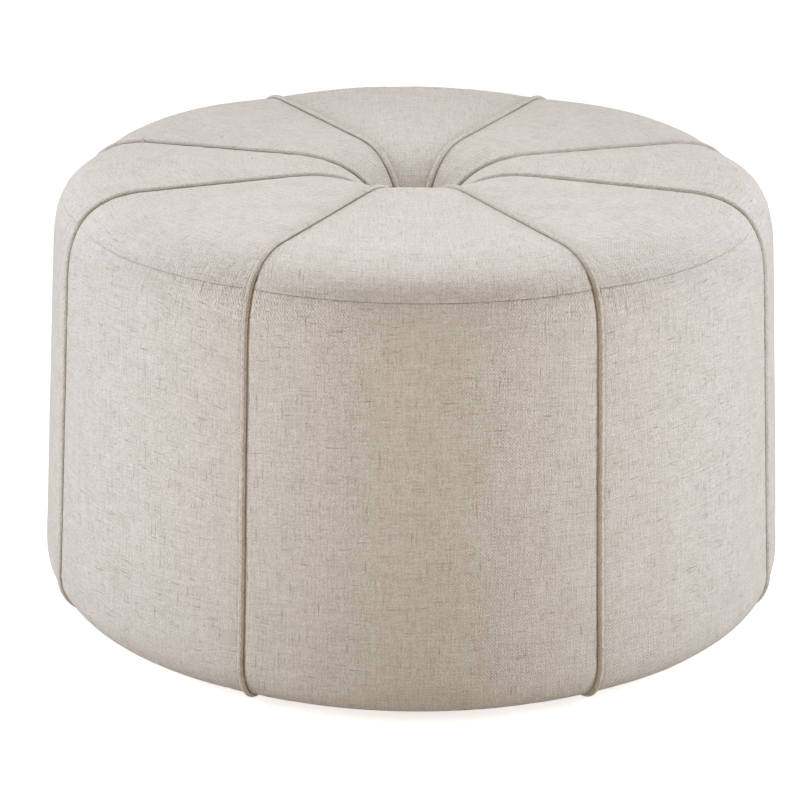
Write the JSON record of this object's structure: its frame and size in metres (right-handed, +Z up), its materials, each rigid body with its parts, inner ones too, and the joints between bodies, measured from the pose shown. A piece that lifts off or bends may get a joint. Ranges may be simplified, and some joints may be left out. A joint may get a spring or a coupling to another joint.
{
  "type": "oval ottoman",
  "caption": "Low oval ottoman with a foam body in a gored, welted linen-look cover drawn into a centre tuft, on hidden glides.",
  "frame": {"origin": "middle of the plane that the glides stand on", "axes": "+Z up, +Y along the longer axis away from the pictured front, +X to the right seen from the front"},
  "size_m": [0.8, 0.98, 0.4687],
  "materials": {
    "cover_fabric": "cream oatmeal linen-look plain weave with beige slubs",
    "welt_fabric": "the cover's fabric cut on the bias over cord",
    "foam": "open-cell polyurethane foam",
    "timber": "planed pine",
    "plywood": "sanded plywood",
    "fibreboard": "thin bent fibreboard",
    "twine": "waxed tufting twine",
    "dust_cloth": "black non-woven cloth",
    "nylon": "brown nylon",
    "steel": "zinc-plated steel"
  },
  "bodies": {
    "root": {"top_gore_1": "cover_fabric", "side_panel_1": "cover_fabric", "welt_1": "welt_fabric", "side_pad_1": "foam", "post_1": "timber", "top_gore_2": "cover_fabric", "side_panel_2": "cover_fabric", "welt_2": "welt_fabric", "side_pad_2": "foam", "post_2": "timber", "top_gore_3": "cover_fabric", "side_panel_3": "cover_fabric", "welt_3": "welt_fabric", "side_pad_3": "foam", "post_3": "timber", "top_gore_4": "cover_fabric", "side_panel_4": "cover_fabric", "welt_4": "welt_fabric", "side_pad_4": "foam", "post_4": "timber", "top_gore_5": "cover_fabric", "side_panel_5": "cover_fabric", "welt_5": "welt_fabric", "side_pad_5": "foam", "post_5": "timber", "top_gore_6": "cover_fabric", "side_panel_6": "cover_fabric", "welt_6": "welt_fabric", "side_pad_6": "foam", "post_6": "timber", "top_gore_7": "cover_fabric", "side_panel_7": "cover_fabric", "welt_7": "welt_fabric", "side_pad_7": "foam", "post_7": "timber", "top_gore_8": "cover_fabric", "side_panel_8": "cover_fabric", "welt_8": "welt_fabric", "side_pad_8": "foam", "post_8": "timber", "top_foam": "foam", "base_board": "plywood", "deck_board": "plywood", "side_skin_right": "fibreboard", "side_skin_left": "fibreboard", "tuft_button": "cover_fabric", "tuft_twine": "twine", "tuft_anchor": "fibreboard", "dust_cover": "dust_cloth", "glide_1": "nylon", "glide_2": "nylon", "glide_3": "nylon", "glide_4": "nylon", "glide_5": "nylon", "glide_6": "nylon", "glide_nails": "steel", "deck_screws": "steel", "base_screws": "steel", "staples": "steel"}
  },
  "joints": []
}
